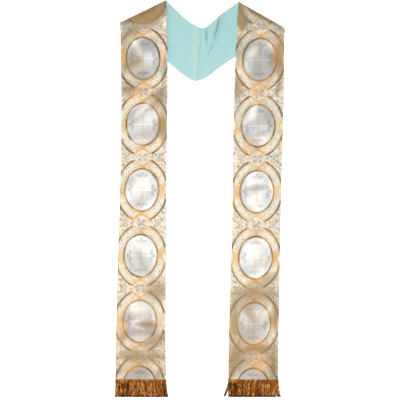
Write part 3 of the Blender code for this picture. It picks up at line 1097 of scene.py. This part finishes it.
def thread_material(name, low, high, tips=None):
    """Metal thread, twisted: each piece of it takes its own shade, between these two, and from so
    far along it to its tips it is painted darker: painted shade at the loops' ends."""
    shader = Shader(name, Specular_IOR_Level=0.25)
    shade = shader.attribute("shade")
    _, around, along = shader.on_cloth()
    stretch = {"Vector": shader.on_object(), "Scale": (1.0, 0.35, 1.0)}
    mottle = shader.noise(shader.node("ShaderNodeMapping", {}, stretch), 190.0, 4.0, 0.65)
    tone = shade * 0.8 + mottle * 3.2 - 1.55
    # Painted shade at the loops' ends
    if tips is not None:
        tone = tone - along.ramp(250.0, -250.0 * tips) * 0.6
    stops = [(0.0, "copper_dark"), (0.45, "copper"), (1.0, "copper_light")]
    span = tone.ramp(high - low, low)
    body = shader.node("ShaderNodeValToRGB", {"stops": stops}, {0: span})
    relief = shader.bump(0.3, 0.0002, (around * 9000.0 + along * 6000.0).math("SINE"))
    metal, rough = 0.55 + mottle * 0.2, 0.38 + mottle * 0.15
    return shader.finish(Base_Color=body, Metallic=metal, Roughness=rough, Normal=relief)


# Pieces

UNDER_COLUMNS = 6  # across a wall's hidden side
EDGE_STEPS = 5  # round each of its edges
BLUNT_END = 0.15  # of its thickness, at the very end of its rounding
VISIBLE_SHARE = 0.8  # of the bake's square, for a wall's visible side
STRETCHES = 3  # of a band, side by side on the bake's square


def rounded(way, least_size):
    """Height of a quarter circle at this share of the way in from its end, and at least this."""
    return np.maximum(np.sqrt(1 - (1 - np.minimum(way, 1)) ** 2), least_size)


def wall(name, band, visible, hidden, margin, material, relief=None, lenses=None):
    """A closed wall over the band: its visible side in fine columns at one height over the
    surface, its hidden side in coarse ones at another, and half circles for its edges. Both
    ends round off as the root of 1 - (1 - distance / half thickness) squared, the second in a
    third of the way. lenses are tables of lens shapes, kept as attributes by name."""
    columns = round(BAND_WIDTH / band.cloth.fine_step)
    turn = np.linspace(0, math.pi, EDGE_STEPS + 1)[1:-1]
    fine, coarse = np.linspace(0, 1, columns + 1), np.linspace(1, 0, UNDER_COLUMNS + 1)
    across = np.concatenate([fine, np.ones_like(turn), coarse, np.zeros_like(turn)])
    outward = np.concatenate([0 * fine, np.sin(turn), 0 * coarse, -np.sin(turn)])
    level = np.concatenate([0 * fine + 1, np.cos(turn), 0 * coarse - 1, -np.cos(turn)])
    half, middle = (visible - hidden) / 2, (visible + hidden) / 2
    if half < 0:  # the visible side is the lower one, and the ring runs the other way
        across, outward = 1 - across, -outward
    width = band.widths()[:, None]
    inset = (margin + abs(half)) / width
    shares = inset + across * (1 - 2 * inset) + outward * abs(half) / width
    points, normals = band.frame_at(shares)
    way = travelled(points[:, columns // 2])
    rounding = rounded(np.minimum(way, (way[-1] - way) * 3) / abs(half), BLUNT_END)
    height = middle + half * level * rounding[:, None]
    cloth = band.on_cloth(points, shares)
    if relief is not None:
        height[:, : columns + 1] += np.sign(half) * relief(cloth[:, : columns + 1])
    rings = points + normals * height[..., None]
    cloth = np.concatenate([cloth, cloth[:, :1]], axis=1)
    rest = np.linspace(VISIBLE_SHARE, 1, len(across) - columns + 1)[1:]
    u = np.concatenate([VISIBLE_SHARE * fine, rest])
    strip = pairs(u, (way / way[-1])[:, None])
    values = {key: lens_field(rings, rows) for key, rows in (lenses or {}).items()}
    return loft(name, rings[None], cloth[None], strip[None], material, STRETCHES, values)


TUBE_SPACING = 31 * MM  # from tube to tube on the cloth's map


def tubes(name, paths, radii, material, shades):
    """Round tubes along the paths, which have one place for every copy and row. radii has one
    value for every copy, row and ring point: ring points start aside and turn upwards."""
    copies, around = len(paths), radii.shape[2]
    ahead = unit(np.gradient(paths, axis=1))
    aside = unit(np.cross(np.broadcast_to((0.0, 0.0, 1.0), paths.shape), ahead))
    above = np.cross(ahead, aside)
    turn = np.linspace(0, 2 * math.pi, around, endpoint=False)[:, None]
    spokes = np.cos(turn) * aside[:, :, None] + np.sin(turn) * above[:, :, None]
    rings = paths[:, :, None] + radii[..., None] * spokes
    way = travelled(paths.swapaxes(0, 1)).T
    share = np.linspace(0, 1, around + 1)
    girth = 2 * math.pi * radii.max()
    copy = np.arange(copies)[:, None, None]
    across = copy * TUBE_SPACING + share * girth
    cloth = pairs(across, way[..., None])
    u = (copy + 0.04 + 0.92 * share) / copies
    v = (way / way.max())[..., None] * 0.98 + 0.01
    values = {"shade": shades[:, None, None]}
    return loft(name, rings, cloth, pairs(u, v), material, values=values, smooth_caps=True)


def blunt(rows, share, least_size=0.12):
    """How full a tube is along its rows: round at both ends, over this share of its length."""
    t = np.linspace(0, 1, rows)
    return rounded(np.minimum(t, 1 - t) / share, least_size)


# The layers of a fringe. Columns: piece, the property that counts its strands, a strand's
# radius and its height over the floor in shares of the usual radius, its share of free
# movement, its first seed
LAYERS = (
    ("stole_fringe", "strands", 1.0, 3.1, 1.0, 11),
    ("stole_fringe_under", "under_strands", 1.25, 1.3, 0.1, 21),
)
# How far the strands' tips stand outside the hem at the left and at the right, the power that
# fades this over the others, and how far the last ones at the left have swung out, in metres
FLARES = {
    "left": (0.0012, 0.0045, 4.0, 0.0),
    "right": (0.0006, 0.0070, 4.0, 0.0115),
}
STRAND_ROWS, STRAND_SIDES = 44, 10
SWUNG = 3  # strands at the left edge that are nearly straight and may have swung out
TUCK = 3 * MM  # of a strand under the heading
FALL = 9 * MM  # from the heading, over which it comes down to its layer
SWAY = 1.2 * MM  # spread of the sway that neighbours share
STRAY = 1.3 * MM  # spread of a strand's own, and the distance between swung ones
MOST_STRAY = 6 * MM
CRIMP = 1 * MM
LIFT = 0.5 * MM  # of every other strand


def strand_paths(band, fringe, chance, count, radius, level, loose):
    """Paths of a layer's strands from one edge of the hem to the other, how far each drops
    and its shade. A strand runs from under the heading, drops to its level, sways to one side
    with the power 1.5 of its way down and is crimped by a sine; every other strand lies a
    little higher. Loose is the share of free movement."""
    left, hem, right, _ = band.panel[0]
    down = np.linspace(0, 1, STRAND_ROWS)
    place = (np.arange(count) + 0.5) / count + chance.uniform(-0.3, 0.3, count) * loose / count
    root_x = left + (right - left) * place
    drop = fringe.drop - fringe.uneven * chance.beta(1.2, 2.4, count) + TUCK
    to_left, to_right, fade, last = FLARES[band.side]
    sway = to_right * place**fade - to_left * (1 - place) ** fade
    sway += np.interp(place, np.linspace(0, 1, 12), chance.normal(0, SWAY, 12))
    sway += np.clip(chance.standard_t(3, count) * STRAY, -MOST_STRAY, MOST_STRAY) * loose
    sway = np.clip(root_x + sway, left - to_left, right + to_right) - root_x
    bend, level = np.full((count, 1), 1.5), np.full((count, 1), level)
    # Strands with little free movement, as in the lower layer, take darker shades: painted shade
    # under the upper layer
    shades = np.interp(place, np.linspace(0, 1, 18), chance.normal(0.15 + 0.4 * loose, 0.3, 18))
    shades = np.clip(shades + chance.normal(0, 0.2, count), 0, 1)
    if loose > 0.5 and last > 0:
        sway[:SWUNG] = left - last + np.arange(SWUNG) * STRAY - root_x[:SWUNG]
        # The swung strands take the darkest shade there is: painted shade, as of strands hanging
        # in shadow
        bend[:SWUNG], drop[:SWUNG], shades[:SWUNG] = 1.3, 0.95 * drop[:SWUNG], -1
        level[:SWUNG, 0] = radius * np.linspace(1.1, 2.9, SWUNG)
    turns = chance.uniform(1.5, 3.5, (count, 1))
    crimp = chance.normal(0, CRIMP, (count, 1)) * loose
    crimp[:SWUNG] *= 0.3
    crimp = crimp * np.sin(2 * math.pi * turns * down) * smoothstep(down * 4)
    x = root_x[:, None] + sway[:, None] * down**bend + crimp
    way = down * drop[:, None]
    high = band.floor_level + band.cloth.brocade + 0.6 * fringe.radius
    lift = (np.arange(count) % 2)[:, None] * LIFT
    z = high + (level + lift - high) * smoothstep(way / FALL - 0.25)
    return np.stack([x, hem + TUCK - way, z], axis=-1), drop, shades


def strand_layer(band, fringe, layer, seed, material):
    """A layer of strands. A strand's section is two twisted plies: at the angle a it has the
    radius (0.7 + 0.3 |cos(a - twist)|)."""
    name, strands, thick, level, loose, first_seed = layer
    chance = np.random.default_rng(first_seed + seed)
    count, radius, level = getattr(fringe, strands), thick * fringe.radius, level * fringe.radius
    paths, drop, shades = strand_paths(band, fringe, chance, count, radius, level, loose)
    turn = np.linspace(0, 2 * math.pi, STRAND_SIDES, endpoint=False)
    phase = chance.uniform(0, math.pi, count)[:, None, None]
    down = np.linspace(0, 1, STRAND_ROWS)[:, None]
    twist = 2 * math.pi * down * drop[:, None, None] / fringe.turn
    plies = 0.7 + 0.3 * np.abs(np.cos(turn - twist - phase))
    radii = radius * plies * blunt(STRAND_ROWS, 0.04)[:, None]
    return tubes(f"{name}_{band.side}", paths, radii, material, shades)


HEADING_GIRTH = 20 * MM  # round it, on the cloth's map
BRAID_BASE, BRAID_CORD, BRAID_TURN = 0.7 * MM, 0.75 * MM, 2.0 * MM  # heights, length of a twist


def heading_rings(band, fringe):
    """A flat braid of three cords on the hem: its top is (1 - |2 q - 1|^6)^0.5 times the base
    and a cord |sin(3 pi q)|^0.5, twisted along it, for q from its upper edge to its lower."""
    left, hem, right, _ = band.panel[0]
    across = np.linspace(left - 0.3 * MM, right + 0.3 * MM, 300)[:, None]
    q = np.linspace(0, 1, 25)
    crown = np.sqrt(np.maximum(1 - np.abs(2 * q - 1) ** 6, 0))
    cords = np.sqrt(np.abs(np.sin(3 * math.pi * q)))
    slant = np.where((q > 1 / 3) & (q < 2 / 3), 1.0, -1.0)
    twisted = 0.72 + 0.28 * np.sin(2 * math.pi * (across / BRAID_TURN + slant * 3.0 * q))
    top = crown * (BRAID_BASE + BRAID_CORD * cords * twisted)
    y_top = hem - fringe.overhang + fringe.heading * (1 - q)
    under = np.linspace(1, 0, 5)[1:-1]
    y = np.concatenate([y_top, hem - fringe.overhang + fringe.heading * (1 - under)])
    rise = np.concatenate([top, np.zeros((len(across), len(under)))], axis=1)
    x, y = np.broadcast_arrays(across, y)
    plan = pairs(x, np.maximum(y, hem))
    ease = np.clip((across - left) * (right - across) / (1.2 * MM * (right - left)), 0.1, 1)
    base = band.panel_height(plan) + band.cloth.brocade + band.cloth.gap / 2
    return np.stack([x, y, base + 0.05 * MM + rise * np.sqrt(ease)], axis=-1)


STITCH_ROWS, STITCH_SIDES = 5, 6
STITCH_DEPTH = 0.15 * MM  # of its ends below the surface
STITCH_LENGTH, STITCH_PITCH = 2.3 * MM, 3.1 * MM  # along the heading
GROOVE_HEIGHT = 0.95 * MM  # of the heading's grooves over the brocade


def stitch_paths(starts, ends, normals, lift):
    """Arcs from start to end, (1 - t) start + t end + lift sin(pi t) along the normal, that
    begin and end a little below the surface."""
    t = np.linspace(0, 1, STITCH_ROWS)[:, None]
    arc = lift * np.sin(math.pi * t) - STITCH_DEPTH
    return starts[:, None] * (1 - t) + ends[:, None] * t + normals[:, None] * arc


def make_stitches(name, paths, radius, material, seed):
    shades = np.random.default_rng(seed).uniform(0.3, 0.7, len(paths))
    shape = (*paths.shape[:2], STITCH_SIDES)
    radii = np.broadcast_to(radius * blunt(STITCH_ROWS, 0.3, 0.5)[:, None], shape)
    return tubes(name, paths, radii, material, shades)


def settle(piece, node):
    """Every piece rides on the one body, and a piece that stands for a node hides that node's
    part.
    """
    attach(piece, "root")
    if node is not None:
        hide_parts(node)


class STOLE_OT_brocade(bpy.types.Operator):
    """Makes both bands' brocade, with the rings standing up from it"""

    bl_idname = "stole.brocade"
    bl_label = "Brocade"
    bl_options = {"REGISTER", "UNDO"}

    def execute(self, context):
        cloth, pattern = context.scene.stole_cloth, context.scene.stole_pattern
        if cloth.brocade <= 0:
            raise RuntimeError("The brocade needs a thickness")
        material = brocade_material(pattern)

        def relief(places):
            half = pattern.repeat / 2
            y = half - np.abs(np.mod(places[..., 1], 2 * half) - half)
            lines = line_shares(*woven_rings(np.abs(places[..., 0]), y, pattern), pattern)
            return cloth.raised * np.maximum(*lines)

        # Places of the painted light and shade, kept on the brocade as attributes
        lenses = {tint: rows for tint, (_, _, rows) in PAINTED_LIGHT_PATCHES.items()}
        lenses.update(dulled=PAINTED_FOLD_SHADE, rolled=PAINTED_ROLL_SHADE)
        for side in BANDS:
            band = Band(side, cloth, cloth.fine_step, cloth.coarse_step)
            low, name = cloth.gap / 2, f"stole_brocade_{side}"
            piece = wall(name, band, low + cloth.brocade, low, 0.0, material, relief, lenses)
            settle(piece, f"brocade_{side}")
            width, longest, area = band.flat_size(0.0)
        return {"FINISHED"}


class STOLE_OT_lining(bpy.types.Operator):
    """Makes both bands' lining, set back from the brocade's edges, and its slip stitches"""

    bl_idname = "stole.lining"
    bl_label = "Lining"
    bl_options = {"REGISTER", "UNDO"}

    def execute(self, context):
        cloth = context.scene.stole_cloth
        if cloth.lining <= 0:
            raise RuntimeError("The lining needs a thickness")
        material, thread = taffeta_material(), lining_thread_material()
        for side in BANDS:
            folds = NECK_FOLDS + LINING_FOLDS
            band = Band(side, cloth, cloth.coarse_step, cloth.fine_step, folds)
            high, name = -cloth.gap / 2, f"stole_lining_{side}"
            piece = wall(name, band, high - cloth.lining, high, cloth.setback, material)
            settle(piece, f"lining_{side}")
            even = Band(side, cloth, cloth.coarse_step, cloth.coarse_step)
            stitches = self.slip_stitches(even, thread)
            settle(stitches, None)
            width, longest, area = band.flat_size(cloth.setback)
        return {"FINISHED"}

    def slip_stitches(self, band, material):
        """Stitches from the lining's edges up to the brocade, slanting outwards, one for each
        two rows of an evenly stepped band."""
        cloth = band.cloth
        low, high = cloth.gap / 2 + 0.45 * cloth.lining, cloth.gap / 2
        edge = cloth.setback / NECK_WIDTH
        paths = []
        for inner, outer in ((edge * 1.2, edge * 0.7), (1 - edge * 1.2, 1 - edge * 0.7)):
            points, normals = band.frame_at(np.array([inner, outer]))
            starts = points[2:-3:2, 0] - normals[2:-3:2, 0] * low
            ends = points[3:-2:2, 1] + normals[3:-2:2, 1] * high
            paths.append(stitch_paths(starts, ends, -normals[2:-3:2, 0], 0.3 * MM))
        name = f"stole_lining_stitches_{band.side}"
        return make_stitches(name, np.concatenate(paths), 0.18 * MM, material, 7)


class STOLE_OT_fringe(bpy.types.Operator):
    """Makes both hems' bullion fringe: its woven heading, two layers of strands and stitches"""

    bl_idname = "stole.fringe"
    bl_label = "Fringe"
    bl_options = {"REGISTER", "UNDO"}

    def execute(self, context):
        cloth, fringe = context.scene.stole_cloth, context.scene.stole_fringe
        if min(fringe.strands, fringe.under_strands) < 4:
            raise RuntimeError("A layer of the fringe needs four strands or more")
        strand = thread_material("Bullion thread", 0.0, 1.0, fringe.drop - TUCK)
        braid = thread_material("Braid thread", 0.20, 0.92)
        for seed, side in enumerate(BANDS):
            band = Band(side, cloth, cloth.fine_step, cloth.coarse_step)
            heading = self.heading(band, fringe, braid)
            upper, under = (strand_layer(band, fringe, layer, seed, strand) for layer in LAYERS)
            settle(upper, f"fringe_{side}")
            for piece in (heading, under, self.stitches(band, fringe, braid)):
                settle(piece, None)
        return {"FINISHED"}

    def heading(self, band, fringe, material):
        rings = heading_rings(band, fringe)
        along = np.linspace(0, 1, len(rings))[:, None]
        around = np.linspace(0, 1, rings.shape[1] + 1)
        cloth, strip = pairs(around * HEADING_GIRTH, along * BAND_WIDTH), pairs(around, along)
        name, shade = f"stole_heading_{band.side}", {"shade": 0.35}
        return loft(name, rings[None], cloth[None], strip[None], material, 2, shade)

    def stitches(self, band, fringe, material):
        """Two rows of stitches in the grooves between the heading's cords."""
        left, hem, right, _ = band.panel[0]
        x = np.arange(left + 1.5 * MM, right - 3.5 * MM, STITCH_PITCH)
        rows = []
        for share in (1 / 3, 2 / 3):
            y = np.full_like(x, hem - fringe.overhang + fringe.heading * share)
            z = band.panel_height(pairs(x, y)) + band.cloth.brocade + GROOVE_HEIGHT
            starts = np.stack([x, y, z], axis=-1)
            rows.append((starts, starts + np.array((STITCH_LENGTH, 0.0, 0.0))))
        starts, ends = (np.concatenate(part) for part in zip(*rows))
        normals = np.broadcast_to((0.0, 0.0, 1.0), starts.shape)
        paths = stitch_paths(starts, ends, normals, 0.4 * MM)
        name = f"stole_heading_stitches_{band.side}"
        return make_stitches(name, paths, 0.28 * MM, material, 5)


FLOOR_REACH = 6.0
FLOOR_LEVEL = -0.2 * MM
HORIZON_HEIGHT = 0.5  # sine of the height at which the horizon's glow has faded
SENSOR_WIDTH = 36.0
VIEW_MIDDLE = (0.7 * MM, -2.7 * MM)


class STOLE_OT_stage(bpy.types.Operator):
    """Makes the floor, the soft lights and the camera that looks straight down"""

    bl_idname = "stole.stage"
    bl_label = "Stage"
    bl_options = {"REGISTER", "UNDO"}

    def execute(self, context):
        stage = context.scene.stole_stage
        if stage.view_width <= 0:
            raise RuntimeError("The camera needs a width to see")
        self.floor(stage)
        self.lights(context.scene, stage)
        self.camera(context.scene, stage)
        return {"FINISHED"}

    def floor(self, stage):
        mesh = bpy.data.meshes.new("floor")
        signs = ((-1, -1), (1, -1), (1, 1), (-1, 1))
        corners = [(x * FLOOR_REACH, y * FLOOR_REACH, FLOOR_LEVEL) for x, y in signs]
        mesh.from_pydata(corners, [], [(0, 1, 2, 3)])
        shader = Shader("Pale floor", Roughness=0.9, Specular_IOR_Level=0.1)
        speckle = shader.noise(shader.on_object(), 30.0, 3.0)
        tone = shader.mix(speckle * 0.04, tuple(stage.floor), (0.8, 0.8, 0.8, 1.0))
        feeds = {"Base_Color": tone, "Emission_Color": tone, "Emission_Strength": stage.floor_glow}
        mesh.materials.append(shader.finish(**feeds))
        add_object("floor", mesh)

    def lights(self, scene, stage):
        world = bpy.data.worlds.new("Studio")
        world.use_nodes = True
        sky = Nodes(world.node_tree)
        background = sky.tree.nodes["Background"]
        sky.plug(background.inputs["Color"], stage.sky_colour)
        way = sky.node("ShaderNodeTexCoord", output="Generated")
        height = most(sky.node("ShaderNodeSeparateXYZ", {}, {0: way}, "Z"), 0.0)
        low, fade = stage.sky_low, power(most(1.0 - height / HORIZON_HEIGHT, 0.0), 2.0)
        glow = fade * (stage.horizon - low)
        strength = height * (stage.sky_high - low) + low + glow
        sky.plug(background.inputs["Strength"], strength)
        scene.world = world
        self.light("Key", (0.8, 0.5), stage.key, (-0.02, -0.13, 2.5))
        self.light("Side", (0.9, 0.9), stage.side, (-1.6, -1.3, 1.2))

    def light(self, name, size, watts, place):
        """A soft panel of light that faces the origin."""
        light = bpy.data.lights.new(name, "AREA")
        light.shape, (light.size, light.size_y) = "RECTANGLE", size
        light.energy = watts
        panel = add_object(name, light)
        panel.location = place
        panel.rotation_euler = mathutils.Vector(place).to_track_quat("Z", "Y").to_euler()
        panel.visible_camera = False

    def camera(self, scene, stage):
        camera = bpy.data.cameras.new("Camera")
        camera.lens, camera.sensor_width = stage.lens, SENSOR_WIDTH
        view = add_object("Camera", camera)
        view.location = (*VIEW_MIDDLE, stage.view_width * stage.lens / SENSOR_WIDTH)
        scene.camera = view
        scene.view_settings.view_transform = "Standard"


OPERATORS = (STOLE_OT_brocade, STOLE_OT_lining, STOLE_OT_fringe, STOLE_OT_stage)


class STOLE_PT_panel(bpy.types.Panel):
    """Lists the pieces and the stage"""

    bl_idname = "STOLE_PT_panel"
    bl_label = "Stole"
    bl_space_type = "VIEW_3D"
    bl_region_type = "UI"
    bl_category = "Stole"

    def draw(self, context):
        for group_name, group in GROUPS.items():
            box = self.layout.box()
            for name in group.__annotations__:
                box.prop(getattr(context.scene, group_name), name)
        for operator in OPERATORS:
            self.layout.operator(operator.bl_idname)


def register():
    for cls in (*GROUPS.values(), *OPERATORS, STOLE_PT_panel):
        bpy.utils.register_class(cls)
    for name, group in GROUPS.items():
        setattr(bpy.types.Scene, name, bpy.props.PointerProperty(type=group))


def unregister():
    for name in GROUPS:
        delattr(bpy.types.Scene, name)
    for cls in reversed((*GROUPS.values(), *OPERATORS, STOLE_PT_panel)):
        bpy.utils.unregister_class(cls)


def main():
    register()
    bpy.ops.stole.brocade()
    bpy.ops.stole.lining()
    bpy.ops.stole.fringe()
    bpy.ops.stole.stage()


if __name__ == "__main__":
    main()
